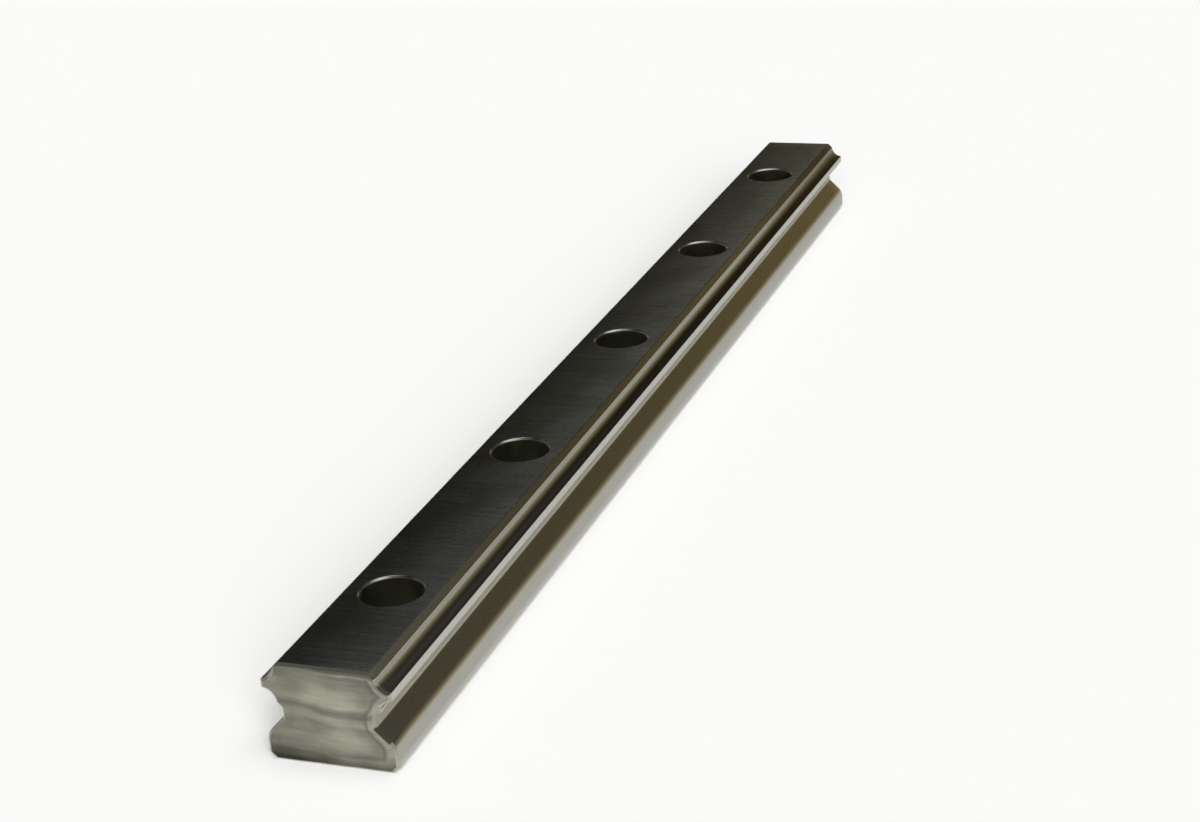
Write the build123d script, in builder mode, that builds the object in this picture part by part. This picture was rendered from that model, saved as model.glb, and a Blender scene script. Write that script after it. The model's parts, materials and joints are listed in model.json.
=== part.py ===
from build123d import *
import os

# Bare rail of a linear guide: size 25, low profile, cut to carry five mounting screws.
# Millimetres. X runs across the rail, Y along it and +Z is up.
# The origin is the middle of the underside, half way along the rail.

# Section, overall
rail_width = 23.0
rail_height = 18.0
top_width = 16.3
neck_width = 16.3

# Head of the section. Depths are measured down from the top face.
shoulder_chamfer = 1.0
land_depth = 3.35
land_height = 1.6
raceway_radius = 2.5

# Foot of the section
neck_bottom_depth = 9.9
foot_radius = 3.2
foot_chamfer = 1.2

# Mounting holes, in a row along the middle of the rail, starting from the near end at -Y
hole_count = 5
hole_pitch = 60.0
near_end_distance = 27.2
far_end_distance = 30.0
screw_hole_diameter = 7.0
head_bore_diameter = 11.0
head_bore_depth = 9.0
mouth_chamfer = 0.35
underside_chamfer = 0.3

# The cut ends are deburred all round
end_chamfer = 0.4

# Places that follow from the sizes above
rail_length = near_end_distance + (hole_count - 1) * hole_pitch + far_end_distance
row_middle = (near_end_distance - far_end_distance) / 2
side = rail_width / 2
neck = neck_width / 2
top_edge = top_width / 2
shoulder = top_edge + shoulder_chamfer
land_top = rail_height - land_depth
land_bottom = land_top - land_height
neck_bottom = rail_height - neck_bottom_depth
flank_end = neck_bottom - (side - neck)

# The lower raceway mirrors the upper one about the middle of the land,
# and a 45 degree relief, like the shoulder's chamfer, leads from it into the neck
throat = land_top + land_bottom - (rail_height - shoulder_chamfer)
neck_top = throat - (shoulder - neck)

# The rail is one bar: the section is ground along its whole length, then the holes are sunk from above
with BuildPart() as rail:
    with BuildSketch(Plane.XZ) as section:
        with BuildLine() as outline:
            # Right half of the section, from the middle of the top face round to the underside
            Polyline(
                (0, rail_height),
                (top_edge, rail_height),
                (shoulder, rail_height - shoulder_chamfer),
            )
            RadiusArc((shoulder, rail_height - shoulder_chamfer), (side, land_top), -raceway_radius)
            Line((side, land_top), (side, land_bottom))
            RadiusArc((side, land_bottom), (shoulder, throat), -raceway_radius)
            Polyline(
                (shoulder, throat),
                (neck, neck_top),
                (neck, neck_bottom),
                (side, flank_end),
                (side, foot_chamfer),
                (side - foot_chamfer, 0),
                (0, 0),
            )
            mirror(about=Plane.YZ)
        make_face()
        # The sloping flanks roll over into the sides of the foot
        roll_corners = section.vertices().filter_by(
            lambda corner: abs(corner.Y - flank_end) < foot_chamfer / 10
        )
        fillet(roll_corners, radius=foot_radius)
    extrude(amount=rail_length / 2, both=True)

    # Cut ends, deburred along the whole outline
    chamfer(rail.faces().filter_by(Axis.Y).edges(), length=end_chamfer)

    # Counterbored screw holes
    with Locations((0, row_middle, rail_height)):
        with GridLocations(hole_pitch, hole_pitch, 1, hole_count):
            CounterBoreHole(
                radius=screw_hole_diameter / 2,
                counter_bore_radius=head_bore_diameter / 2,
                counter_bore_depth=head_bore_depth,
            )
    top_face = rail.faces().sort_by(Axis.Z)[-1]
    underside = rail.faces().sort_by(Axis.Z)[0]
    mouths = top_face.edges().filter_by(GeomType.CIRCLE)
    exits = underside.edges().filter_by(GeomType.CIRCLE)
    chamfer(mouths, length=mouth_chamfer)
    chamfer(exits, length=underside_chamfer)

rail.part.label = "rail"

os.makedirs("parts", exist_ok=True)
export_step(rail.part, "parts/rail.step")
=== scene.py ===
"""Looks of a bare linear guide rail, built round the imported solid.

Lengths are in metres, and in millimetres inside the finishes. X runs across the rail, Y along it from its
middle, and +Z is up. The rail lies on the floor, z = 0, with its near end towards -Y.
"""

import json
import logging
import math
from collections.abc import Sequence
from dataclasses import dataclass, field
from enum import Enum

import bmesh
import bpy
import numpy as np
from mathutils import Matrix, Vector


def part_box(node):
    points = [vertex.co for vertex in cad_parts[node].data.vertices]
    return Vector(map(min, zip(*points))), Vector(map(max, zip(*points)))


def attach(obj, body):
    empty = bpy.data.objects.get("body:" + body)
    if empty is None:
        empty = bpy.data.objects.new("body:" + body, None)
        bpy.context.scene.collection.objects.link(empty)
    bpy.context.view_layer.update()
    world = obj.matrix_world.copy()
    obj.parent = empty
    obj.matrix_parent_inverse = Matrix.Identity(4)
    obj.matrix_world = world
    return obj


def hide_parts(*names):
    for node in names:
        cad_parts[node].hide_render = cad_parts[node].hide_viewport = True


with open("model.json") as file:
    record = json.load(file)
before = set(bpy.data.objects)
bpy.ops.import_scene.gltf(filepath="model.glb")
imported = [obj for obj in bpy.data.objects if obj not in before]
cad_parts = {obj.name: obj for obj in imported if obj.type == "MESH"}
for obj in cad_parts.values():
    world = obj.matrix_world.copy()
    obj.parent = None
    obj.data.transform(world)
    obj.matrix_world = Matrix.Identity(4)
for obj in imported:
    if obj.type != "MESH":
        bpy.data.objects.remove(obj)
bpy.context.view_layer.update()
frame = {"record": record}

MM = 0.001
UP = np.array([0.0, 0.0, 1.0])
GRAIN_MAP = "across_grain"
POLISH = "polish"
DEPTH = "depth_from_outline"
MERGE_DISTANCE = 0.002 * MM

# Noise runs from 0 to 1, but seldom leaves this range.
NOISE_RANGE = (0.3, 0.7)

# A Mix node's colour sockets share their names with its other kinds, so they go by place.
MIX_FIRST, MIX_SECOND, MIX_RESULT = 6, 7, 2

Pair = tuple[float, float]
Triple = tuple[float, float, float]
Socket = bpy.types.NodeSocket

log = logging.getLogger("rail")


class Zone(Enum):
    """The finishes on the bar, by the place of their material on its mesh."""

    TOP = 0
    FLANK = 1
    END = 2
    BORE = 3
    UNDERSIDE = 4
    EDGE = 5
    MOUTH = 6


class Polish(Enum):
    """How far a part of the outline is worked, from drawn steel to a lapped track, as the mesh holds it."""

    DRAWN = 0.2
    NECK = 0.4
    PLAIN = 0.5
    FOOT = 0.6
    LAND = 0.8
    TRACK = 1.0


def show(name: str, data: bpy.types.ID) -> bpy.types.Object:
    """Puts a new object into the scene.

    Args:
        name: its name.
        data: its mesh, light or camera.

    Returns:
        The object.
    """
    thing = bpy.data.objects.new(name, data)
    bpy.context.scene.collection.objects.link(thing)
    return thing


def unit(vector: np.ndarray) -> np.ndarray:
    """The vectors, each divided by its own length."""
    return vector / np.linalg.norm(vector, axis=-1, keepdims=True)


def cross2(a: np.ndarray, b: np.ndarray) -> float:
    """The cross product of two plane vectors, positive where b lies to the left of a."""
    return float(a[0] * b[1] - a[1] * b[0])


def walked(points: np.ndarray) -> np.ndarray:
    """How far along a chain each of its points lies: the sum of the chords before it."""
    return np.concatenate(([0.0], np.cumsum(np.linalg.norm(np.diff(points, axis=0), axis=1))))


def once_round(count: int) -> np.ndarray:
    """Evenly spaced angles once round to the left, from the corner towards -X and -Y back to itself."""
    return np.linspace(-3, 5, count) * math.pi / 4


def round_corner(before: np.ndarray, heading_in: np.ndarray, after: np.ndarray, heading_out: np.ndarray,
                 steps: int) -> np.ndarray:
    """Points of a quadratic curve that rounds a corner, without its two ends.

    The curve is (1-t)^2 before + 2 t (1-t) corner + t^2 after. Its corner is where the two headings cross.

    Args:
        before: the last point ahead of the corner.
        heading_in: the unit direction there.
        after: the first point past the corner.
        heading_out: the unit direction there.
        steps: how many chords make the curve.

    Returns:
        An array of steps - 1 points.
    """
    along = cross2(after - before, heading_out) / cross2(heading_in, heading_out)
    corner = before + along * heading_in
    t = np.linspace(0, 1, steps + 1)[1:-1, None]
    return (1 - t) ** 2 * before + 2 * t * (1 - t) * corner + t**2 * after


def spaced(length: float, gap: float, lead: float, most: float = 0.2) -> np.ndarray:
    """Shares of a stretch from 0 to 1, evenly spaced, with a close neighbour at each end.

    The neighbours keep the soft shading of a rounded edge from reaching into the flat beside it.

    Args:
        length: the stretch's length.
        gap: the widest step between points.
        lead: how far the close neighbours lie from the ends.
        most: the largest share of a short stretch that the lead may take.

    Returns:
        Shares of the length, rising from 0 to 1.
    """
    share = min(lead / length, most)
    inner = np.linspace(share, 1 - share, max(2, math.ceil(length / gap) + 1))
    return np.concatenate(([0.0], inner, [1.0]))


@dataclass(frozen=True)
class Stretch:
    """One straight line or arc of an outline, walked with the solid on its right hand."""

    start: Pair
    end: Pair
    centre: Pair | None = None
    polish: Polish = Polish.PLAIN
    round_start: float = 0.0

    @property
    def radius(self) -> float:
        """The arc's radius, or 0 on a straight line."""
        return 0.0 if self.centre is None else math.dist(self.start, self.centre)

    @property
    def sweep(self) -> float:
        """The arc's angle, positive where it turns left."""
        a, b = (np.subtract(p, self.centre) for p in (self.start, self.end))
        return math.atan2(cross2(a, b), float(a @ b))

    @property
    def length(self) -> float:
        """The stretch's own length."""
        return math.dist(self.start, self.end) if self.centre is None else abs(self.sweep) * self.radius

    def heading(self, distance: np.ndarray) -> np.ndarray:
        """Unit directions at distances from the start.

        On a line it is the line's own. On an arc it is the spoke turned a quarter to the side of the sweep.

        Args:
            distance: distances along the stretch.

        Returns:
            An array of directions, one row each.
        """
        distance = np.atleast_1d(distance)
        if self.centre is None:
            return np.tile(unit(np.subtract(self.end, self.start)), (len(distance), 1))
        side = math.copysign(1, self.sweep)
        spoke = unit(self.at(distance) - np.asarray(self.centre))
        return side * np.stack([-spoke[:, 1], spoke[:, 0]], axis=1)

    def at(self, distance: np.ndarray, inset: float = 0.0) -> np.ndarray:
        """Points at distances from the start, moved into the solid by inset.

        On a line the point is start + distance * direction. On an arc it is the start's spoke turned by
        distance / radius. The inset goes a quarter turn to the right of the heading.

        Args:
            distance: distances along the stretch as drawn, which may run past its ends.
            inset: how far the points move into the solid.

        Returns:
            An array of points, one row each.
        """
        distance = np.atleast_1d(distance)
        if self.centre is None:
            points = np.asarray(self.start) + distance[:, None] * self.heading(distance)
        else:
            spoke = np.subtract(self.start, self.centre)
            turn = math.copysign(1, self.sweep) * distance / self.radius
            points = np.asarray(self.centre) + np.stack([
                spoke[0] * np.cos(turn) - spoke[1] * np.sin(turn),
                spoke[0] * np.sin(turn) + spoke[1] * np.cos(turn),
            ], axis=1)
        if inset:
            heading = self.heading(distance)
            points = points + inset * np.stack([heading[:, 1], -heading[:, 0]], axis=1)
        return points


@dataclass
class Outline:
    """A chain of stretches whose corners are rounded, and which can be drawn again further in."""

    stretches: list[Stretch]
    gap: float = 0.28 * MM
    lead: float = 0.04 * MM
    corner_steps: int = 6

    def turn(self, index: int) -> float:
        """The angle between a stretch and the one before it.

        Args:
            index: the stretch's place in the chain.

        Returns:
            The angle, positive at an outside corner.
        """
        before, after = self.stretches[index - 1], self.stretches[index]
        a, b = before.heading(before.length)[0], after.heading(0.0)[0]
        return -math.atan2(cross2(a, b), float(a @ b))

    def setback(self, index: int, inset: float, stretch: Stretch) -> float:
        """How far from a corner a stretch stops: the rounding, and what the inset takes at that turn.

        The inset takes inset * tan(turn / 2). On an arc the whole is measured on the arc as drawn, so it
        grows by the drawn radius over the inset one.

        Args:
            index: the corner's place in the chain.
            inset: how far inside the drawn outline the points lie.
            stretch: the stretch on either side of the corner.

        Returns:
            The distance along the stretch as drawn.
        """
        full = self.stretches[index].round_start + inset * math.tan(self.turn(index) / 2)
        if stretch.centre is None or not inset:
            return full
        inner = stretch.radius - inset * math.copysign(1, -stretch.sweep)
        return full * stretch.radius / inner

    def draw(self, inset: float = 0.0) -> tuple[np.ndarray, np.ndarray]:
        """The outline's points, and how polished the surface is at each.

        The first and the last stretch give only the point where the neighbouring corner begins.

        Args:
            inset: how far inside the drawn outline the points lie.

        Returns:
            The points, one row each, and the polish at each.
        """
        points, polish = [], []
        last = len(self.stretches) - 1
        for i, stretch in enumerate(self.stretches):
            start = 0.0 if i == 0 else self.setback(i, inset, stretch)
            end = stretch.length - (0.0 if i == last else self.setback(i + 1, inset, stretch))
            if i == 0:
                walk = np.array([end])
            elif i == last:
                walk = np.array([start])
            else:
                gap = self.gap if stretch.centre else 2 * self.gap
                walk = start + (end - start) * spaced(stretch.length, gap, self.lead)
            here = stretch.at(walk, inset)
            if i > 0 and stretch.round_start:
                before = self.stretches[i - 1]
                stop = before.length - self.setback(i, inset, before)
                curve = round_corner(points[-1][-1], before.heading(stop)[0], here[0],
                                     stretch.heading(start)[0], self.corner_steps)
                points.append(curve)
                polish.append(np.linspace(before.polish.value, stretch.polish.value, len(curve)))
            elif i > 0:
                here = here[1:]
            points.append(here)
            polish.append(np.full(len(here), stretch.polish.value))
        return np.concatenate(points), np.concatenate(polish)


@dataclass
class Section:
    """The rail's section: overall size from the frame, the rest as in the part, with its edges rounded."""

    half_width: float
    height: float
    top_half_width: float = 8.15 * MM
    neck_half_width: float = 8.15 * MM
    shoulder_chamfer: float = 1.0 * MM
    land_depth: float = 3.35 * MM
    land_height: float = 1.6 * MM
    track_radius: float = 2.5 * MM
    neck_bottom_depth: float = 9.9 * MM
    foot_radius: float = 3.2 * MM
    foot_chamfer: float = 1.2 * MM
    edge_round: float = 0.10 * MM
    tip_round: float = 0.16 * MM
    root_round: float = 0.30 * MM

    def track_centre(self, start: Pair, end: Pair) -> Pair:
        """The middle of a ball track: off the chord's middle, outside the solid, by sqrt(r^2 - (chord/2)^2).

        Args:
            start: where the track begins on the outline.
            end: where it ends.

        Returns:
            The centre of its arc.
        """
        a, b = np.array(start), np.array(end)
        heading = unit(b - a)
        away = np.array([-heading[1], heading[0]])
        centre = (a + b) / 2 + away * math.sqrt(self.track_radius**2 - float((b - a) @ (b - a)) / 4)
        return float(centre[0]), float(centre[1])

    def outline(self) -> Outline:
        """The right half of the section, from the middle of the top face round to the underside.

        The shoulders, the neck's top and the foot slope at 45 degrees. The foot's roll rounds a turn of 45
        degrees, so it begins and ends radius * tan(45 / 2) from that corner.

        Returns:
            The chain of its stretches.
        """
        side, neck = self.half_width, self.neck_half_width
        shoulder = self.top_half_width + self.shoulder_chamfer
        shoulder_z = self.height - self.shoulder_chamfer
        land_top = self.height - self.land_depth
        land_bottom = land_top - self.land_height
        throat = land_top + land_bottom - shoulder_z
        neck_top = throat - (shoulder - neck)
        neck_bottom = self.height - self.neck_bottom_depth
        flank_end = neck_bottom - (side - neck)
        reach = self.foot_radius * math.tan(math.pi / 8)
        roll_start = (side - reach * math.sqrt(0.5), flank_end + reach * math.sqrt(0.5))
        roll_end = (side, flank_end - reach)
        upper = ((shoulder, shoulder_z), (side, land_top))
        lower = ((side, land_bottom), (shoulder, throat))
        edge, tip, root = self.edge_round, self.tip_round, self.root_round
        return Outline([
            Stretch((0, self.height), (self.top_half_width, self.height)),
            Stretch((self.top_half_width, self.height), upper[0], polish=Polish.DRAWN, round_start=edge),
            Stretch(*upper, centre=self.track_centre(*upper), polish=Polish.TRACK, round_start=edge),
            Stretch(upper[1], lower[0], polish=Polish.LAND, round_start=tip),
            Stretch(*lower, centre=self.track_centre(*lower), polish=Polish.TRACK, round_start=tip),
            Stretch(lower[1], (neck, neck_top), polish=Polish.NECK, round_start=edge),
            Stretch((neck, neck_top), (neck, neck_bottom), polish=Polish.NECK, round_start=root),
            Stretch((neck, neck_bottom), roll_start, polish=Polish.DRAWN, round_start=root),
            Stretch(roll_start, roll_end, centre=(side - self.foot_radius, roll_end[1]), polish=Polish.FOOT),
            Stretch(roll_end, (side, self.foot_chamfer), polish=Polish.FOOT),
            Stretch((side, self.foot_chamfer), (side - self.foot_chamfer, 0), round_start=tip),
            Stretch((side - self.foot_chamfer, 0), (0, 0), round_start=tip),
        ])


@dataclass
class Patchwork:
    """Gathers grids of points into one closed mesh. Each grid is an array of rows by columns by 3."""

    points: list[np.ndarray] = field(default_factory=list)
    faces: list[np.ndarray] = field(default_factory=list)
    zones: list[np.ndarray] = field(default_factory=list)
    grain: list[np.ndarray] = field(default_factory=list)
    polish: list[np.ndarray] = field(default_factory=list)
    depth: list[np.ndarray] = field(default_factory=list)
    count: int = 0

    def add(self, grid: np.ndarray, zone: Zone, grain: np.ndarray, depth: np.ndarray | float = 0.0,
            polish: np.ndarray | float = Polish.PLAIN.value) -> None:
        """Adds one grid, with a four-sided face between each four neighbours.

        The face at row i and column j has the corners (i, j), (i, j+1), (i+1, j+1) and (i+1, j).

        Args:
            grid: the points.
            zone: the finish of its faces.
            grain: a pair for each point, whose first number grows across the scratches.
            depth: each point's distance from the rail's outline.
            polish: how polished each point is.
        """
        rows, columns = grid.shape[:2]
        index = self.count + np.arange(rows * columns).reshape(rows, columns)
        quads = np.stack([index[:-1, :-1], index[:-1, 1:], index[1:, 1:], index[1:, :-1]], axis=-1)
        self.points.append(grid.reshape(-1, 3))
        self.faces.append(quads.reshape(-1, 4))
        self.zones.append(np.full((rows - 1) * (columns - 1), zone.value))
        self.grain.append(grain.reshape(-1, 2))
        self.polish.append(np.broadcast_to(polish, (rows, columns)).ravel())
        self.depth.append(np.broadcast_to(depth, (rows, columns)).ravel())
        self.count += rows * columns

    def build(self, name: str) -> bpy.types.Object:
        """The closed mesh: coincident points are merged, and every face is turned outwards.

        Args:
            name: the object's name.

        Returns:
            The new object, linked to the scene.
        """
        faces = np.concatenate(self.faces)
        mesh = bpy.data.meshes.new(name)
        mesh.vertices.add(self.count)
        mesh.loops.add(faces.size)
        mesh.polygons.add(len(faces))
        mesh.vertices.foreach_set("co", np.concatenate(self.points).astype(np.float32).ravel())
        mesh.loops.foreach_set("vertex_index", faces.ravel().astype(np.int32))
        mesh.polygons.foreach_set("loop_start", np.arange(0, faces.size, 4, dtype=np.int32))
        mesh.polygons.foreach_set("material_index", np.concatenate(self.zones).astype(np.int32))
        mesh.update(calc_edges=True)
        grain = mesh.uv_layers.new(name=GRAIN_MAP)
        grain.data.foreach_set("uv", np.concatenate(self.grain)[faces.ravel()].astype(np.float32).ravel())
        for attribute, values in ((POLISH, self.polish), (DEPTH, self.depth)):
            layer = mesh.attributes.new(attribute, "FLOAT", "POINT")
            layer.data.foreach_set("value", np.concatenate(values).astype(np.float32))
        merged = bmesh.new()
        merged.from_mesh(mesh)
        bmesh.ops.remove_doubles(merged, verts=merged.verts, dist=MERGE_DISTANCE)
        bmesh.ops.recalc_face_normals(merged, faces=merged.faces)
        open_edges = sum(not edge.is_manifold for edge in merged.edges)
        merged.to_mesh(mesh)
        merged.free()
        mesh.polygons.foreach_set("use_smooth", np.ones(len(mesh.polygons), dtype=bool))
        mesh.update()
        log.info("%s: %d faces, %d open edges", name, len(mesh.polygons), open_edges)
        return show(name, mesh)


@dataclass
class MountingHoles:
    """The row of counterbored holes: places and radii from the record's mounts, the rest as in the part."""

    centres: np.ndarray
    screw_radius: float
    head_radius: float
    head_depth: float = 9.0 * MM
    mouth_chamfer: float = 0.35 * MM
    exit_chamfer: float = 0.3 * MM
    edge_round: float = 0.06 * MM
    floor_round: float = 0.25 * MM
    wall_gap: float = 0.7 * MM
    wall_lead: float = 0.03 * MM
    corner_steps: int = 4

    @classmethod
    def from_record(cls, record: dict) -> "MountingHoles":
        """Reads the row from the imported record: the middle hole, and the pairs on either side of it.

        Args:
            record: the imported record.

        Returns:
            The row of holes.
        """
        mounts = {mount["name"]: mount for mount in record["mounts"]}
        middle = mounts["screw_hole_middle"]
        pairs = [mounts["screw_holes_inner_pair"], mounts["screw_holes_outer_pair"]]
        reach = [pair["dims"]["spacing_y_mm"] * MM / 2 for pair in pairs]
        centres = middle["pos_m"][1] + np.array([-reach[1], -reach[0], 0.0, reach[0], reach[1]])
        return cls(centres, middle["dims"]["r_mm"] * MM, mounts["head_bore_middle"]["dims"]["r_mm"] * MM)

    def wall(self, height: float) -> np.ndarray:
        """The hole's own outline, from the top face down through to the underside.

        Args:
            height: the rail's height.

        Returns:
            Its points as radius and height, one row each.
        """
        mouth = self.head_radius + self.mouth_chamfer
        exit_radius = self.screw_radius + self.exit_chamfer
        ledge = height - self.head_depth
        corners = [(mouth + self.wall_gap, height), (mouth, height),
                   (self.head_radius, height - self.mouth_chamfer), (self.head_radius, ledge),
                   (self.screw_radius, ledge), (self.screw_radius, self.exit_chamfer), (exit_radius, 0),
                   (exit_radius + self.wall_gap, 0)]
        rounds = [self.edge_round, self.edge_round, self.floor_round, self.edge_round, self.edge_round,
                  self.edge_round]
        stretches = [Stretch(corners[0], corners[1])]
        stretches += [Stretch(a, b, round_start=r) for a, b, r in zip(corners[1:], corners[2:], rounds)]
        return Outline(stretches, self.wall_gap, self.wall_lead, self.corner_steps).draw()[0]


@dataclass
class RailBar:
    """The one bar of the rail, from the frame's box and the record's holes."""

    section: Section
    holes: MountingHoles
    near: float
    far: float
    end_chamfer: float = 0.4 * MM
    end_round: float = 0.08 * MM
    end_reach: float = 0.5 * MM
    end_gap: float = 0.2 * MM
    end_lead: float = 0.03 * MM
    end_steps: int = 3
    top_lead: float = 0.05 * MM
    columns: int = 20
    crowding: float = 1.25
    cell_rows: int = 7
    cell_crowding: float = 1.5
    station_gap: float = 6.0 * MM

    @property
    def outline(self) -> Outline:
        """The right half of the section."""
        return self.section.outline()

    def shares(self) -> np.ndarray:
        """Places across the top from -1 to 1, closer together towards both edges.

        They follow sin(crowding * w) / sin(crowding) for even w, with one more place just inside each edge.

        Returns:
            The places, rising.
        """
        even = np.sin(self.crowding * np.linspace(-1, 1, self.columns - 1)) / math.sin(self.crowding)
        edge = 1 - self.top_lead / self.section.top_half_width
        return np.sort(np.concatenate((even, [-edge, edge])))

    def end_edge(self) -> np.ndarray:
        """The chamfer round a cut end, drawn from the flank to the end face.

        Returns:
            Its points as distance from the end and inset, one row each.
        """
        chamfer, reach = self.end_chamfer, self.end_chamfer + self.end_reach
        corners = [(reach, 0.0), (chamfer, 0.0), (0.0, chamfer), (0.0, reach)]
        rounds = [0.0, self.end_round, self.end_round]
        stretches = [Stretch(a, b, round_start=r) for a, b, r in zip(corners, corners[1:], rounds)]
        return Outline(stretches, self.end_gap, self.end_lead, self.end_steps).draw()[0]

    def stations(self) -> tuple[np.ndarray, np.ndarray, list[slice]]:
        """The places along the rail where its section is drawn.

        Returns:
            The places, the inset of the section at each, and the run of places beside each hole.
        """
        edge = self.end_edge()
        half = self.section.top_half_width - self.section.edge_round
        shares = self.shares()
        places, runs = [], []
        begin = self.near + edge[0, 0]
        for centre in [*self.holes.centres, None]:
            stop = self.far - edge[0, 0] if centre is None else centre - half
            steps = max(2, math.ceil((stop - begin) / self.station_gap))
            places.append(np.linspace(begin, stop, steps + 1)[1:-1])
            if centre is not None:
                first = len(edge) + sum(len(p) for p in places)
                runs.append(slice(first, first + len(shares)))
                places.append(centre + half * shares)
                begin = centre + half
        middle = np.concatenate(places)
        along = np.concatenate((self.near + edge[::-1, 0], middle, self.far - edge[:, 0]))
        return along, np.concatenate((edge[::-1, 1], np.zeros(len(middle)), edge[:, 1])), runs

    def hole_cell(self, centre: float, half_x: float, half_y: float, radius: float,
                  height: float) -> np.ndarray:
        """The plane face round one hole: rows run from the circle out to a rectangle.

        Column k joins the circle's point at an even angle to the rectangle's k-th edge point, and row s lies
        at circle + (edge - circle) * s^crowding.

        Args:
            centre: the hole's place along the rail.
            half_x: half the cell's width.
            half_y: half its length.
            radius: the circle's radius.
            height: the plane's height.

        Returns:
            The grid, whose last column repeats the first.
        """
        shares = self.shares()
        ones, side = np.ones(len(shares) - 1), shares[:-1]
        x = half_x * np.concatenate([side, ones, -side, -ones, [-1]])
        y = half_y * np.concatenate([-ones, side, ones, -side, [-1]])
        angle = once_round(len(x))
        out = np.linspace(0, 1, self.cell_rows)[:, None] ** self.cell_crowding
        circle_x, circle_y = radius * np.cos(angle), radius * np.sin(angle)
        return np.stack([
            circle_x + (x - circle_x) * out,
            centre + circle_y + (y - circle_y) * out,
            np.full((len(out), len(x)), height),
        ], axis=-1)

    def add_plane(self, work: Patchwork, edge_x: np.ndarray, edge_z: np.ndarray, radius: float,
                  zone: Zone) -> None:
        """Adds the top face or the underside: even strips between the holes and a cell round each hole.

        Args:
            work: where the grids go.
            edge_x: the face's half width at each station.
            edge_z: its height at each station.
            radius: the radius of the holes' mouths on this face.
            zone: its finish.
        """
        places, insets, runs = self.stations()
        plain = np.flatnonzero(insets == 0.0)
        shares = self.shares()

        def across(x: np.ndarray, y: np.ndarray) -> tuple[np.ndarray, np.ndarray]:
            """The two map numbers, the one that grows across this face's scratches first."""
            return (y, x) if zone is Zone.TOP else (x, y)

        starts = [0, plain[0], *(run.stop - 1 for run in runs), plain[-1]]
        stops = [plain[0] + 1, *(run.start + 1 for run in runs), plain[-1] + 1, len(places)]
        finishes = [Zone.EDGE, *[zone] * (len(runs) + 1), Zone.EDGE]
        for start, stop, finish in zip(starts, stops, finishes):
            x = edge_x[start:stop, None] * shares
            y = np.broadcast_to(places[start:stop, None], x.shape)
            z = np.broadcast_to(edge_z[start:stop, None], x.shape)
            work.add(np.stack([x, y, z], axis=-1), finish, np.stack(across(x, y), axis=-1))
        for centre, run in zip(self.holes.centres, runs):
            half_y = places[run.stop - 1] - centre
            cell = self.hole_cell(centre, edge_x[run.start], half_y, radius, edge_z[run.start])
            work.add(cell, zone, np.stack(across(cell[..., 0], cell[..., 1]), axis=-1))

    def add_flanks(self, work: Patchwork) -> None:
        """Adds both flanks: the section's outline carried along, further in at the chamfered ends.

        Args:
            work: where the grids go.
        """
        places, insets, _ = self.stations()
        plain = np.flatnonzero(insets == 0.0)
        parts = [(0, plain[0], Zone.EDGE), (plain[0], plain[-1], Zone.FLANK),
                 (plain[-1], len(places) - 1, Zone.EDGE)]
        drawn = {inset: self.outline.draw(inset) for inset in np.unique(insets)}
        profile = np.stack([drawn[inset][0] for inset in insets])
        polish = drawn[0.0][1]
        y = np.broadcast_to(places[:, None], profile.shape[:2])
        down = np.broadcast_to(walked(profile[len(places) // 2]), y.shape)
        grain = np.stack([down, y], axis=-1)
        for side in (1, -1):
            grid = np.stack([side * profile[..., 0], y, profile[..., 1]], axis=-1)
            for first, final, zone in parts:
                rows = slice(first, final + 1)
                work.add(grid[rows], zone, grain[rows], insets[rows, None], polish)

    def add_end(self, work: Patchwork, place: float, inset: float) -> None:
        """Adds a cut end: at each height of the outline a row runs from the left flank to the right one.

        Args:
            work: where the grid goes.
            place: the end's place along the rail.
            inset: how far the face's edge lies inside the outline.
        """
        edge = self.outline.draw(inset)[0]
        x = edge[:, :1] * self.shares()
        z = np.broadcast_to(edge[:, 1:], x.shape)
        grid = np.stack([x, np.full(x.shape, place), z], axis=-1)
        depth = self.distance_from_outline(np.stack([np.abs(x), z], axis=-1).reshape(-1, 2))
        work.add(grid, Zone.END, np.stack([x, z], axis=-1), depth.reshape(x.shape))

    def distance_from_outline(self, points: np.ndarray) -> np.ndarray:
        """The shortest distance from each point to the closed outline: to each chord, then the least.

        Args:
            points: places in the right half of the section, one row each.

        Returns:
            The distance of each.
        """
        half = self.outline.draw()[0]
        loop = np.concatenate([[[0.0, half[0, 1]]], half, [[0.0, half[-1, 1]]]])
        start, chord = loop[:-1], np.diff(loop, axis=0)
        along = ((points[:, None] - start) * chord).sum(-1) / (chord**2).sum(-1)
        nearest = start + np.clip(along, 0, 1)[..., None] * chord
        return np.linalg.norm(points[:, None] - nearest, axis=-1).min(axis=1)

    def add_bores(self, work: Patchwork, wall: np.ndarray) -> None:
        """Adds the holes' walls: the wall's outline turned round each hole's axis.

        Args:
            work: where the grids go.
            wall: the outline as radius and height, whose first chamfer is the mouth.
        """
        angle = once_round(4 * (len(self.shares()) - 1) + 1)
        round_way = np.broadcast_to(angle * self.holes.head_radius, (len(wall), len(angle)))
        down_way = np.broadcast_to(walked(wall)[:, None], round_way.shape)
        foot = self.section.height - self.holes.mouth_chamfer + self.holes.edge_round
        mouth = int(np.count_nonzero(wall[:, 1] > foot))
        parts = ((slice(0, mouth + 1), Zone.MOUTH), (slice(mouth, None), Zone.BORE))
        grain = np.stack([down_way, round_way], axis=-1)
        for centre in self.holes.centres:
            grid = np.stack([
                wall[:, :1] * np.cos(angle),
                centre + wall[:, :1] * np.sin(angle),
                np.broadcast_to(wall[:, 1:], round_way.shape),
            ], axis=-1)
            for rows, zone in parts:
                work.add(grid[rows], zone, grain[rows])

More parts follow.
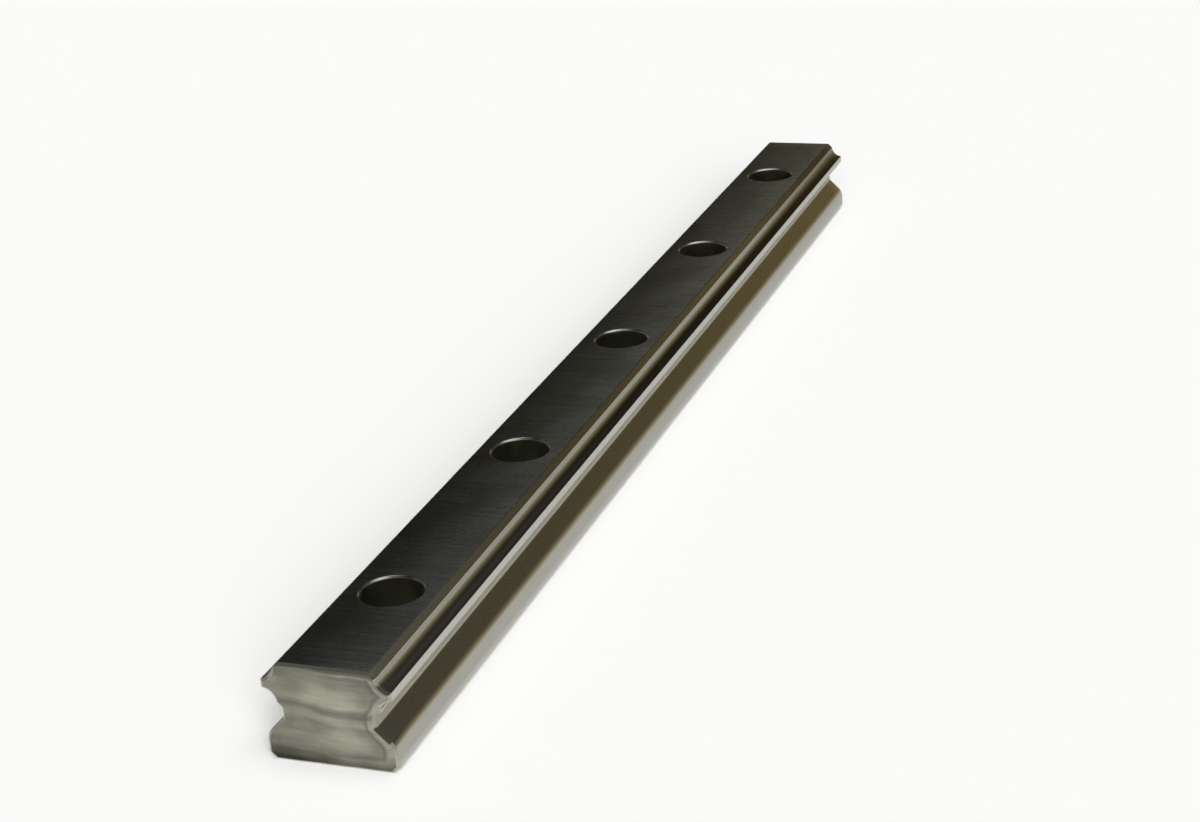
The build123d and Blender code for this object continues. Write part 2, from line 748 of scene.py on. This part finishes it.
    def build(self) -> bpy.types.Object:
        """The whole bar as one closed mesh.

        Returns:
            The new object, without materials yet.
        """
        work = Patchwork()
        places, insets, _ = self.stations()
        edges = np.stack([self.outline.draw(inset)[0][[0, -1]] for inset in insets])
        wall = self.holes.wall(self.section.height)
        self.add_plane(work, edges[:, 0, 0], edges[:, 0, 1], wall[0, 0], Zone.TOP)
        self.add_plane(work, edges[:, 1, 0], edges[:, 1, 1], wall[-1, 0], Zone.UNDERSIDE)
        self.add_flanks(work)
        self.add_end(work, places[0], insets[0])
        self.add_end(work, places[-1], insets[-1])
        self.add_bores(work, wall)
        return work.build("rail_bar")


@dataclass(frozen=True)
class Fade:
    """A smooth step from low at the start to high at the end, and level beyond. It may run downwards."""

    start: float
    end: float
    low: float = 0.0
    high: float = 1.0


@dataclass(frozen=True)
class Noise:
    """Soft noise: its cell's size in millimetres, its shift, and its finer layers and their strength."""

    cell: Triple
    shift: Triple = (0.0, 0.0, 0.0)
    detail: float = 2.0
    rough: float = 0.5


@dataclass
class NodeKit:
    """A node tree, and the few kinds of node that the finishes and the room share."""

    tree: bpy.types.NodeTree

    def node(self, kind: str, inputs: dict[int | str, object], output: int | str = 0,
             **settings: object) -> Socket:
        """Makes a node and fills its inputs.

        Args:
            kind: its type.
            inputs: what goes into each socket, by name or place: a node's output, a number or a colour.
            output: which of its outputs is wanted, by name or place.
            settings: its own settings.

        Returns:
            That output.
        """
        node = self.tree.nodes.new(kind)
        for key, value in settings.items():
            setattr(node, key, value)
        for key, value in inputs.items():
            if isinstance(value, Socket):
                self.tree.links.new(value, node.inputs[key])
            else:
                node.inputs[key].default_value = value
        return node.outputs[output]

    def axes(self, vector: Socket) -> bpy.types.NodeOutputs:
        """The three numbers of a vector, as sockets."""
        return self.node("ShaderNodeSeparateXYZ", {"Vector": vector}).node.outputs

    def fade(self, value: Socket, fade: Fade) -> Socket:
        """A value carried through a smooth step."""
        inputs = {"Value": value, "From Min": fade.start, "From Max": fade.end, "To Min": fade.low,
                  "To Max": fade.high}
        return self.node("ShaderNodeMapRange", inputs, "Result", interpolation_type="SMOOTHSTEP")

    def ramp(self, value: Socket, stops: list[tuple[float, Triple]], easing: str = "EASE") -> Socket:
        """Colours along a scale from 0 to 1.

        Args:
            value: the place on the scale.
            stops: each stop's place and colour, in rising order.
            easing: how the colour runs from one stop to the next.

        Returns:
            The colour there.
        """
        colour = self.node("ShaderNodeValToRGB", {"Fac": value}, "Color")
        scale = colour.node.color_ramp
        scale.interpolation = easing
        scale.elements[0].position, scale.elements[1].position = stops[0][0], stops[-1][0]
        for place, _ in stops[1:-1]:
            scale.elements.new(place)
        for element, (_, tint) in zip(scale.elements, stops):
            element.color = (*tint, 1)
        return colour


@dataclass
class Shader(NodeKit):
    """A material with one metal surface, made from its name."""

    tree: bpy.types.NodeTree = field(init=False)
    name: str

    def __post_init__(self) -> None:
        """Makes the material with its surface and output."""
        self.material = bpy.data.materials.new(self.name)
        self.material.use_nodes = True
        self.tree = self.material.node_tree
        self.surface = self.tree.nodes["Principled BSDF"]
        self.surface.inputs["Metallic"].default_value = 1.0

    def place(self, cell: Triple = (1.0, 1.0, 1.0), shift: Triple = (0.0, 0.0, 0.0)) -> Socket:
        """The point on the rail, counted in cells of a size in millimetres."""
        inputs = {"Vector": self.node("ShaderNodeTexCoord", {}, "Object"),
                  "Scale": [1 / (size * MM) for size in cell], "Location": shift}
        return self.node("ShaderNodeMapping", inputs, "Vector")

    def noise(self, noise: Noise, vector: Socket | None = None) -> Socket:
        """Noise from 0 to 1, at the point on the rail or at another vector."""
        inputs = {"Vector": vector or self.place(noise.cell, noise.shift), "Scale": 1.0,
                  "Detail": noise.detail, "Roughness": noise.rough}
        return self.node("ShaderNodeTexNoise", inputs, "Fac")

    def math(self, operation: str, *values: object) -> Socket:
        """One sum of up to three values, each a socket or a number."""
        return self.node("ShaderNodeMath", dict(enumerate(values)), operation=operation)

    def away(self, value: Socket, place: float) -> Socket:
        """How far a value lies from a place, on either side."""
        return self.math("ABSOLUTE", self.math("SUBTRACT", value, place))

    def product(self, first: Socket, *others: Socket) -> Socket:
        """The product of several values.

        Args:
            first: one of them.
            others: the rest.

        Returns:
            Their product.
        """
        for other in others:
            first = self.math("MULTIPLY", first, other)
        return first

    def window(self, *parts: tuple[Socket, Fade]) -> Socket:
        """The product of several fades, each with the value that it is taken at."""
        return self.product(*(self.fade(value, fade) for value, fade in parts))

    def blend(self, values: Sequence[Socket], shares: Sequence[float]) -> Socket:
        """The sum of several values, each times its own share.

        Args:
            values: the values.
            shares: the share of each.

        Returns:
            Their sum.
        """
        total = self.math("MULTIPLY", values[0], shares[0])
        for value, share in zip(values[1:], shares[1:]):
            total = self.math("MULTIPLY_ADD", value, share, total)
        return total

    def mix(self, share: Socket, first: object, second: object) -> Socket:
        """A colour between two.

        Args:
            share: how much of the second there is, from 0 to 1.
            first: a colour, or a node's output.
            second: another.

        Returns:
            The colour between them.
        """
        first, second = ((*tint, 1.0) if isinstance(tint, tuple) else tint for tint in (first, second))
        inputs = {"Factor": share, MIX_FIRST: first, MIX_SECOND: second}
        return self.node("ShaderNodeMix", inputs, MIX_RESULT, data_type="RGBA")

    def two_tone(self, tone: Socket, dark: Triple, light: Triple) -> Socket:
        """A colour between a dark and a light one, by the height of some noise."""
        return self.mix(self.fade(tone, Fade(*NOISE_RANGE)), dark, light)

    def attribute(self, name: str) -> Socket:
        """A number that the mesh holds at each point."""
        return self.node("ShaderNodeAttribute", {}, "Fac", attribute_name=name)

    def bump(self, height: Socket, depth: float) -> None:
        """Raises the surface, on top of any earlier bump.

        Args:
            height: how high each point is.
            depth: the rise in millimetres where that is 1.
        """
        normal = self.surface.inputs["Normal"]
        inputs = {"Distance": depth * MM, "Height": height}
        if normal.is_linked:
            inputs["Normal"] = normal.links[0].from_socket
        self.tree.links.new(self.node("ShaderNodeBump", inputs, "Normal"), normal)

    def brush(self, spread: float, edge_tint: float) -> None:
        """Gives the metal its grinding scratches.

        They spread reflections across themselves, along the first number of the grain map. Iron also gains
        less at a grazing angle than a plain metal does.

        Args:
            spread: how far the reflections spread.
            edge_tint: what is left of the gain.
        """
        self.surface.inputs["Anisotropic"].default_value = spread
        tangent = self.node("ShaderNodeTangent", {}, "Tangent", direction_type="UV_MAP", uv_map=GRAIN_MAP)
        self.tree.links.new(tangent, self.surface.inputs["Tangent"])
        self.surface.inputs["Specular Tint"].default_value = (edge_tint, edge_tint, edge_tint, 1)

    def wear(self, colour: Socket, roughness: Socket) -> bpy.types.Material:
        """Gives the surface its look.

        Args:
            colour: its colour.
            roughness: its roughness.

        Returns:
            The finished material.
        """
        self.tree.links.new(colour, self.surface.inputs["Base Color"])
        self.tree.links.new(roughness, self.surface.inputs["Roughness"])
        return self.material


@dataclass(frozen=True)
class CrossGroundTop:
    """The top face, ground across its width: fine lines from side to side, and faint clouds of haze.

    Painted shade darkens it towards the far end, most of all on the right, and painted light makes its
    colour lighter towards +X.
    """

    half_width: float
    dark: Triple = (0.212, 0.230, 0.224)
    light: Triple = (0.825, 0.882, 0.862)
    fine: Noise = Noise((130.0, 0.22, 130.0), detail=1)
    coarse: Noise = Noise((150.0, 0.9, 150.0), (3.1, 7.7, 0))
    cloud: Noise = Noise((9.0, 14.0, 9.0), (1.3, 2.9, 0), detail=3)
    line_shares: Pair = (0.45, 0.55)
    # Shares of lines, clouds, the place across and the painted far-end shade. The share across is painted
    # light: the top grows lighter towards +X.
    tone_shares: tuple[float, float, float, float] = (0.20, 0.09, 0.155, -0.25)
    tone_range: Fade = Fade(-0.09, 0.43)
    haze_shares: Pair = (0.5, 0.5)
    haze: Fade = Fade(*NOISE_RANGE, 0.245, 0.295)
    # Painted shade towards the far end, stronger towards +X.
    far_shade_along: Fade = Fade(105, 137, 0, 0.40)
    far_shade_across: Fade = Fade(-0.6, 1.0)
    crown: float = 0.20
    line_depth: float = 0.0007
    spread: float = 0.6
    edge_tint: float = 0.72

    def material(self) -> bpy.types.Material:
        """The finish as a material. The crown is a fall of crown * (x / half width)^2, by shading only.

        Returns:
            The new material.
        """
        shader = Shader("top_steel")
        lines = shader.blend((shader.noise(self.fine), shader.noise(self.coarse)), self.line_shares)
        cloud = shader.noise(self.cloud)
        across = shader.axes(shader.place((self.half_width,) * 3))["X"]
        # Painted shade: darker towards the far end, most of all on the right.
        far_shade = shader.window((shader.axes(shader.place())["Y"], self.far_shade_along), (across, self.far_shade_across))
        # The place across paints the colour lighter towards +X: painted light.
        tone = shader.blend((lines, cloud, across, far_shade), self.tone_shares)
        colour = shader.mix(shader.fade(tone, self.tone_range), self.dark, self.light)
        haze = shader.fade(shader.blend((cloud, lines), self.haze_shares), self.haze)
        shader.bump(shader.product(across, across), -self.crown)
        shader.bump(lines, self.line_depth)
        shader.brush(self.spread, self.edge_tint)
        return shader.wear(colour, haze)


@dataclass(frozen=True)
class GroundFlank:
    """The flanks, from drawn steel where nothing runs, through the ground lands, to the lapped ball tracks.

    The tracks' own colour is darker than the lands'. Painted shade darkens the upper track's bottom, and the
    strip under the top's edge towards the far end. Painted light lifts the lower track, the foot's lowest
    strip and the top's chamfer beside the near end.
    """

    drawn: Triple = (0.48, 0.452, 0.375)
    neck: Triple = (0.37, 0.365, 0.32)
    foot: Triple = (0.40, 0.395, 0.353)
    land: Triple = (0.53, 0.525, 0.475)
    track: Triple = (0.30, 0.292, 0.25)
    scratched: Triple = (0.17, 0.165, 0.13)
    # Painted shade, for the upper track's bottom and for the strip under the top's edge towards the far end.
    painted_shade: Triple = (0.085, 0.070, 0.036)
    # Painted light for the foot's lowest strip.
    foot_painted_light: Triple = (0.60, 0.60, 0.57)
    # Painted light, for the top's chamfer towards the near end and for the lower track.
    bright: Triple = (0.90, 0.88, 0.80)
    drawn_rough: float = 0.21
    neck_rough: float = 0.32
    ground_rough: float = 0.20
    lines: Noise = Noise((0.12, 60.0, 0.12))
    grit: Noise = Noise((0.35, 0.35, 0.35), detail=3, rough=0.65)
    cloud: Noise = Noise((4.0, 22.0, 4.0), (5.3, 1.1, 2.0))
    cloud_share: float = 0.12
    scratch_shares: Pair = (0.6, 0.4)
    scratches: Fade = Fade(0.25, 0.75, 0, 0.14)
    # Painted shade towards the far end, under the top's edge.
    far_shade_along: Fade = Fade(55, 141, 0, 0.75)
    far_shade_height: Fade = Fade(15.0, 16.2)
    # Painted shade along the upper track's bottom, fading out towards both ends.
    track_shade_height: float = 15.08
    track_shade_reach: Fade = Fade(0.7, 0.0, 0, 0.5)
    track_shade_near: Fade = Fade(-100, -20)
    track_shade_far: Fade = Fade(150, 100, 0.3, 1)
    # Painted light on the foot's lowest strip.
    foot_light_height: Fade = Fade(2.6, 1.3, 0, 0.55)
    # Painted light on the top's chamfer towards the near end.
    chamfer_light_along: Fade = Fade(-61, -151, 0, 0.6)
    chamfer_light_height: Fade = Fade(16.9, 17.3)
    # Painted light on the lower track.
    lower_track_light_polish: Fade = Fade(0.85, 1.0, 0, 0.45)
    lower_track_light_height: Fade = Fade(14.0, 13.5)
    grit_rough: float = 0.06
    bump_shares: Pair = (0.5, 0.5)
    bump_depth: float = 0.0008
    spread: float = 0.4
    edge_tint: float = 0.72

    def material(self) -> bpy.types.Material:
        """The finish as a material.

        Returns:
            The new material.
        """
        shader = Shader("flank_steel")
        lines, grit, cloud = (shader.noise(noise) for noise in (self.lines, self.grit, self.cloud))
        polish = shader.attribute(POLISH)
        worn = shader.blend((polish, shader.math("SUBTRACT", cloud, 0.5)), (1.0, self.cloud_share))
        base = shader.ramp(worn, [(Polish.DRAWN.value, self.drawn), (Polish.NECK.value, self.neck),
                                  (Polish.FOOT.value, self.foot), (Polish.LAND.value, self.land),
                                  (Polish.TRACK.value, self.track)])
        place = shader.axes(shader.place())
        along, height = place["Y"], place["Z"]
        # Coats over the base: the scratches first, then painted shade and painted light.
        coats = (
            (shader.fade(shader.blend((lines, grit), self.scratch_shares), self.scratches), self.scratched),
            # Painted shade along the upper track's bottom.
            (shader.window((shader.away(height, self.track_shade_height), self.track_shade_reach), (along, self.track_shade_near),
                           (along, self.track_shade_far)), self.painted_shade),
            # Painted shade towards the far end, under the top's edge.
            (shader.window((along, self.far_shade_along), (height, self.far_shade_height)), self.painted_shade),
            # Painted light on the foot's lowest strip.
            (shader.fade(height, self.foot_light_height), self.foot_painted_light),
            # Painted light on the top's chamfer towards the near end.
            (shader.window((along, self.chamfer_light_along), (height, self.chamfer_light_height)), self.bright),
            # Painted light on the lower track.
            (shader.window((polish, self.lower_track_light_polish), (height, self.lower_track_light_height)), self.bright),
        )
        colour = base
        for share, tint in coats:
            colour = shader.mix(share, colour, tint)
        smooth = shader.ramp(worn, [(Polish.DRAWN.value, (self.drawn_rough,) * 3),
                                    (Polish.NECK.value, (self.neck_rough,) * 3),
                                    (Polish.FOOT.value, (self.ground_rough,) * 3)])
        roughness = shader.blend((smooth, shader.math("SUBTRACT", grit, 0.5)), (1.0, self.grit_rough))
        shader.bump(shader.blend((lines, grit), self.bump_shares), self.bump_depth)
        shader.brush(self.spread, self.edge_tint)
        return shader.wear(colour, roughness)


@dataclass(frozen=True)
class FiledEdge:
    """The chamfer round a cut end, broken by hand: satin, without the lustre of the ground faces.

    Painted shade darkens it beside the top face, and on the +X side where the flank beside it is drawn
    steel or the lower half of the upper ball track.
    """

    dark: Triple = (0.46, 0.452, 0.40)
    light: Triple = (0.62, 0.612, 0.555)
    # Painted shade beside the top face.
    top: Triple = (0.24, 0.236, 0.20)
    # Painted shade on the +X side, beside drawn steel and the upper track's lower half.
    edge_shade: Triple = (0.10, 0.094, 0.068)
    marks: Noise = Noise((0.5, 0.5, 0.5), detail=3, rough=0.6)
    cloud: Noise = Noise((3.0, 3.0, 3.0))
    tone_shares: Pair = (0.5, 0.5)
    satin: Fade = Fade(*NOISE_RANGE, 0.76, 0.68)
    mark_depth: float = 0.004
    top_shade_height: Fade = Fade(17.0, 17.6)
    # Where the painted shade on the +X side falls: beside drawn steel, and beside the upper track's lower
    # half.
    drawn_polish: Fade = Fade(0.4, 0.2)
    track_polish: Fade = Fade(0.85, 1.0)
    track_height: float = 15.0
    track_reach: Fade = Fade(1.1, 0.5)
    edge_shade_side: Fade = Fade(0, 4, 0, 0.85)

    def material(self) -> bpy.types.Material:
        """The finish as a material.

        Returns:
            The new material.
        """
        shader = Shader("edge_steel")
        marks = shader.noise(self.marks)
        tone = shader.blend((marks, shader.noise(self.cloud)), self.tone_shares)
        filed = shader.two_tone(tone, self.dark, self.light)
        place = shader.axes(shader.place())
        polish = shader.attribute(POLISH)
        track = shader.window((polish, self.track_polish),
                              (shader.away(place["Z"], self.track_height), self.track_reach))
        beside = shader.math("MAXIMUM", shader.fade(polish, self.drawn_polish), track)
        # Painted shade on the +X side.
        edge_shade_share = shader.product(beside, shader.fade(place["X"], self.edge_shade_side))
        filed = shader.mix(edge_shade_share, filed, self.edge_shade)
        # Painted shade beside the top face.
        colour = shader.mix(shader.fade(place["Z"], self.top_shade_height), filed, self.top)
        shader.bump(marks, self.mark_depth)
        return shader.wear(colour, shader.fade(tone, self.satin))


@dataclass(frozen=True)
class CutEnd:
    """A cut end: smeared wheel marks that rise to one side, and the hardened case as a line round the rim.

    The case shows most towards +X. Outside its line the rim is a little lighter, with a painted highlight
    beside the head.
    """

    height: float
    tint: Triple = (1.02, 1.0, 0.81)
    case: Triple = (0.15, 0.16, 0.165)
    rise: float = 0.72
    turn_place: float = -2.5
    turn_width: float = 3.6
    cloud: Noise = Noise((6.0, 6.0, 5.0), (2, 0, 5))
    wobble: Noise = Noise((3.5, 3.5, 3.5), (4, 1, 0))
    level_wobble: float = 0.03
    smear: Noise = Noise((7.0, 1.0, 1.0), detail=3)
    smear_layers: float = 26.0
    bright_middle: float = 1.5
    bright_sides: Fade = Fade(2, 10, 1, 0.72)
    uneven_shares: Pair = (0.5, 1.0)
    strength: Fade = Fade(0.3, 1.1, 0.68, 1.38)
    case_depth: Fade = Fade(2.5, 5.5, 2.3, 1.65)
    case_wobble: float = 0.6
    case_side: Fade = Fade(-2.0, 4.0, 0.1, 1.0)
    case_width: Fade = Fade(0, 0.5, 0.6, 0)
    case_foot: Fade = Fade(1.8, 3.0, 0.3, 1)
    rim: Fade = Fade(-0.7, -0.1, 1, 0)
    rim_gain: float = 0.35
    # A painted highlight just outside the case line, beside the head.
    case_highlight_place: float = -0.6
    case_highlight_width: Fade = Fade(0, 0.4, 0.5, 0)
    case_highlight_height: Fade = Fade(12.5, 15)
    smear_depth: float = 0.02
    satin: Fade = Fade(*NOISE_RANGE, 0.50, 0.42)

    def bands(self, shader: Shader, level: Socket) -> Socket:
        """How much light each height gives back.

        Args:
            shader: the material's nodes.
            level: the height, from the underside at 0 to the top at 1.

        Returns:
            The light, as a grey.
        """
        stops = [(0.0, 0.05), (0.07, 0.11), (0.17, 0.23), (0.27, 0.285), (0.37, 0.28), (0.425, 0.245),
                 (0.51, 0.33), (0.583, 0.20), (0.65, 0.355), (0.78, 0.30), (0.88, 0.225), (0.94, 0.22),
                 (1.0, 0.10)]
        return shader.ramp(level, [(place, (tone,) * 3) for place, tone in stops])

    def material(self) -> bpy.types.Material:
        """The finish as a material.

        The bands follow a level that rises by tanh((x - turn_place) / turn_width) across the face. The case
        is read from each point's depth inside the outline.

        Returns:
            The new material.
        """
        shader = Shader("cut_steel")
        place = shader.axes(shader.place())
        side, height = place["X"], place["Z"]
        lean = shader.math("TANH", shader.math("DIVIDE", shader.math("SUBTRACT", side, self.turn_place),
                                               self.turn_width))
        cloud = shader.noise(self.cloud)
        wobble = shader.math("SUBTRACT", shader.noise(self.wobble), 0.5)
        level = shader.blend((height, lean, wobble),
                             (1 / self.height, self.rise / self.height, self.level_wobble))
        layers = {"X": shader.math("DIVIDE", side, self.smear.cell[0]),
                  "Z": shader.math("MULTIPLY", level, self.smear_layers)}
        smear = shader.noise(self.smear, shader.node("ShaderNodeCombineXYZ", layers, "Vector"))
        uneven = shader.product(shader.fade(shader.away(side, self.bright_middle), self.bright_sides),
                                shader.blend((smear, cloud), self.uneven_shares))
        tone = shader.product(self.bands(shader, level), shader.fade(uneven, self.strength))
        deep = shader.blend((shader.attribute(DEPTH), wobble), (1 / MM, self.case_wobble))
        past = shader.math("SUBTRACT", deep, shader.fade(height, self.case_depth))
        right = (side, self.case_side)
        rim = shader.window((past, self.rim), right)
        # A painted highlight just outside the case line, beside the head.
        case_highlight = shader.window((shader.away(past, self.case_highlight_place), self.case_highlight_width), right,
                              (height, self.case_highlight_height))
        gain = shader.math("ADD", shader.math("MULTIPLY_ADD", rim, self.rim_gain, 1.0), case_highlight)
        tinted = shader.mix(shader.product(tone, gain), (0.0, 0.0, 0.0), self.tint)
        line = shader.window((shader.away(past, 0.0), self.case_width), right, (height, self.case_foot))
        shader.bump(smear, self.smear_depth)
        return shader.wear(shader.mix(line, tinted, self.case), shader.fade(smear, self.satin))


@dataclass(frozen=True)
class ScaledBore:
    """The holes' walls: turned before hardening, so they keep a dark scale with a little oil."""

    dark: Triple = (0.36, 0.36, 0.295)
    light: Triple = (0.42, 0.42, 0.345)
    rings: Noise = Noise((3.0, 3.0, 0.16))
    cloud: Noise = Noise((2.2, 2.2, 2.2), detail=3)
    tone_shares: Pair = (0.5, 0.5)
    ring_depth: float = 0.002
    satin: Fade = Fade(*NOISE_RANGE, 0.32, 0.38)

    def material(self) -> bpy.types.Material:
        """The finish as a material.

        Returns:
            The new material.
        """
        shader = Shader("bore_steel")
        rings, cloud = shader.noise(self.rings), shader.noise(self.cloud)
        tone = shader.blend((rings, cloud), self.tone_shares)
        shader.bump(rings, self.ring_depth)
        colour = shader.two_tone(tone, self.dark, self.light)
        return shader.wear(colour, shader.fade(cloud, self.satin))


@dataclass(frozen=True)
class BrightMouth:
    """The countersunk mouths of the holes, cut after hardening: bare bright steel."""

    dark: Triple = (0.23, 0.228, 0.212)
    light: Triple = (0.29, 0.287, 0.268)
    marks: Noise = Noise((0.6, 0.6, 0.6))
    satin: Fade = Fade(*NOISE_RANGE, 0.20, 0.27)

    def material(self) -> bpy.types.Material:
        """The finish as a material.

        Returns:
            The new material.
        """
        shader = Shader("mouth_steel")
        marks = shader.noise(self.marks)
        colour = shader.two_tone(marks, self.dark, self.light)
        return shader.wear(colour, shader.fade(marks, self.satin))


@dataclass(frozen=True)
class GroundUnderside:
    """The underside, ground lengthways so that it beds flat."""

    dark: Triple = (0.40, 0.39, 0.36)
    light: Triple = (0.55, 0.54, 0.50)
    lines: Noise = Noise((0.14, 26.0, 0.14), detail=3, rough=0.6)
    cloud: Noise = Noise((8.0, 20.0, 8.0))
    tone_shares: Pair = (0.6, 0.4)
    line_depth: float = 0.0015
    satin: Fade = Fade(*NOISE_RANGE, 0.24, 0.34)

    def material(self) -> bpy.types.Material:
        """The finish as a material.

        Returns:
            The new material.
        """
        shader = Shader("underside_steel")
        lines = shader.noise(self.lines)
        tone = shader.blend((lines, shader.noise(self.cloud)), self.tone_shares)
        shader.bump(lines, self.line_depth)
        colour = shader.two_tone(tone, self.dark, self.light)
        return shader.wear(colour, shader.fade(tone, self.satin))


@dataclass
class Rail:
    """The rail as it is shown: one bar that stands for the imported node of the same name."""

    node: str = "rail"
    slot: str = "ground_steel"

    def make(self) -> bpy.types.Object:
        """Builds the bar from the node's box and the record's holes, and dresses it.

        Returns:
            The bar, attached to the root body.
        """
        low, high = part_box(self.node)
        section = Section(half_width=(high.x - low.x) / 2, height=high.z)
        bar = RailBar(section, MountingHoles.from_record(frame["record"]), near=low.y, far=high.y).build()
        finishes = {
            Zone.TOP: CrossGroundTop(half_width=section.top_half_width / MM),
            Zone.FLANK: GroundFlank(),
            Zone.END: CutEnd(height=section.height / MM),
            Zone.BORE: ScaledBore(),
            Zone.UNDERSIDE: GroundUnderside(),
            Zone.EDGE: FiledEdge(),
            Zone.MOUTH: BrightMouth(),
        }
        for zone in Zone:
            bar.data.materials.append(finishes[zone].material())
        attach(bar, "root")
        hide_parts(self.node)
        log.info("%s rides on root and stands for %s", bar.name, self.node)
        return bar


@dataclass
class Studio:
    """A pale floor under a broad soft light, in a dim warm room whose walls and ceiling the steel reflects.

    The room's fades run over a direction's X, Y or Z, each from -1 to 1.
    """

    floor_reach: float = 8.0
    floor_colour: Triple = (0.93, 0.93, 0.925)
    light_from: Triple = (0.40, -0.78, 0.48)
    light_spread: float = 40.0
    light_strength: float = 3.75
    ceiling: float = 2.3
    ceiling_height: Fade = Fade(0.66, 0.92)
    ceiling_side: Fade = Fade(-0.55, 0.05)
    ceiling_near: Fade = Fade(-0.43, -0.20)
    ceiling_far: Fade = Fade(0.45, 0.10)
    dim_side: Fade = Fade(-0.45, 0.05, 0.25)
    cool_wall: Triple = (0.044, 0.048, 0.046)
    cool_side: Fade = Fade(0.33, 0.50)
    left_wall: Triple = (0.17, 0.172, 0.163)
    left_side: Fade = Fade(-0.60, -0.80)
    low_glow: Triple = (0.60, 0.59, 0.54)
    glow_side: Fade = Fade(-0.46, -0.58)
    glow_far: Fade = Fade(0.68, 0.78)
    glow_height: Fade = Fade(0.36, 0.24)

    def floor(self) -> None:
        """A plain pale floor, much wider than the view."""
        reach = self.floor_reach
        corners = [(-reach, -reach, 0), (reach, -reach, 0), (reach, reach, 0), (-reach, reach, 0)]
        mesh = bpy.data.meshes.new("floor")
        mesh.from_pydata(corners, [], [(0, 1, 2, 3)])
        material = bpy.data.materials.new("floor_paper")
        material.use_nodes = True
        surface = material.node_tree.nodes["Principled BSDF"]
        surface.inputs["Base Color"].default_value = (*self.floor_colour, 1)
        surface.inputs["Roughness"].default_value = 1.0
        surface.inputs["Specular IOR Level"].default_value = 0.0
        mesh.materials.append(material)
        floor = show("floor", mesh)

    def room(self) -> None:
        """The room by direction: walls that glow warm low down and are dim above, and a soft bright ceiling.

        The walls are dimmer towards -X, apart from a pale one far round on that side and a pale low glow
        towards its far corner. A cool one stands towards +X. The ceiling is bright over the rail and to its
        right.
        """
        world = bpy.data.worlds.new("room")
        bpy.context.scene.world = world
        world.use_nodes = True
        kit = NodeKit(world.node_tree)
        x, y, z = kit.axes(kit.node("ShaderNodeTexCoord", {}, "Generated"))

        def lit(colour: object, *fades: tuple[Socket, Fade]) -> Socket:
            """A colour times each fade in turn.

            Args:
                colour: a colour, or a node's output.
                fades: each fade, with the direction's number that it runs over.

            Returns:
                The light from each direction.
            """
            for number, fade in fades:
                colour = kit.node("ShaderNodeVectorMath", {0: colour, "Scale": kit.fade(number, fade)},
                                  "Vector", operation="SCALE")
            return colour

        stops = [(0.00, (0.72, 0.64, 0.48)), (0.09, (0.52, 0.44, 0.27)), (0.17, (0.33, 0.262, 0.125)),
                 (0.26, (0.190, 0.148, 0.068)), (0.34, (0.072, 0.059, 0.031)), (0.42, (0.030, 0.028, 0.019)),
                 (0.50, (0.056, 0.056, 0.049)), (0.59, (0.110, 0.110, 0.102)), (0.70, (0.10, 0.10, 0.10))]
        total = lit(kit.ramp(z, stops, "LINEAR"), (x, self.dim_side))
        for light in (
            lit(self.cool_wall, (x, self.cool_side)),
            lit(self.left_wall, (x, self.left_side)),
            lit(self.low_glow, (x, self.glow_side), (y, self.glow_far), (z, self.glow_height)),
            lit((self.ceiling,) * 3, (z, self.ceiling_height), (x, self.ceiling_side),
                (y, self.ceiling_near), (y, self.ceiling_far)),
        ):
            total = kit.node("ShaderNodeVectorMath", {0: total, 1: light}, "Vector", operation="ADD")
        world.node_tree.links.new(total, world.node_tree.nodes["Background"].inputs["Color"])

    def lamp(self) -> None:
        """One broad soft light from the front, a little to the right, too far away to fade across the floor.

        It lights the floor and makes the shadow. The steel reflects only the room.
        """
        light = bpy.data.lights.new("soft_light", "SUN")
        light.angle = math.radians(self.light_spread)
        light.energy = self.light_strength
        lamp = show("soft_light", light)
        lamp.visible_glossy = False
        place = Vector(self.light_from)
        aim = (-place).to_track_quat("-Z", "Y").to_matrix().to_4x4()
        lamp.matrix_world = Matrix.Translation(place) @ aim

    def build(self) -> None:
        """Puts up the floor, the room and the lamp."""
        self.floor()
        self.room()
        self.lamp()
        log.info("floor, room and lamp are up")


@dataclass
class PhotoCamera:
    """The camera at the photograph's place: a short telephoto above the near end, turned to the left."""

    place: Triple = (0.15764, -0.42934, 0.18821)
    turn_left: float = 20.940
    look_down: float = 22.243
    roll: float = 4.461
    lens: float = 68.438
    sensor: float = 36.0
    nearest: float = 0.01
    farthest: float = 50.0

    def build(self) -> None:
        """Places the camera: forward from the two angles, then rolled about it."""
        left, down, roll = (math.radians(a) for a in (self.turn_left, self.look_down, self.roll))
        forward = np.array([-math.sin(left) * math.cos(down), math.cos(left) * math.cos(down),
                            -math.sin(down)])
        level = unit(np.cross(forward, UP))
        below = np.cross(forward, level)
        right = math.cos(roll) * level + math.sin(roll) * below
        under = math.cos(roll) * below - math.sin(roll) * level
        turn = Matrix(np.stack([right, -under, -forward], axis=1).tolist())
        data = bpy.data.cameras.new("photo_camera")
        data.lens = self.lens
        data.sensor_width = self.sensor
        data.clip_start, data.clip_end = self.nearest, self.farthest
        camera = show("photo_camera", data)
        camera.matrix_world = Matrix.Translation(self.place) @ turn.to_4x4()
        bpy.context.scene.camera = camera
        log.info("%s looks from %s", camera.name, self.place)


def main() -> None:
    """Builds the rail, the studio and the camera in order."""
    logging.basicConfig(level=logging.INFO, format="%(name)s: %(message)s")
    Rail().make()
    Studio().build()
    PhotoCamera().build()
    bpy.context.scene.view_settings.view_transform = "Standard"


if __name__ == "__main__":
    main()
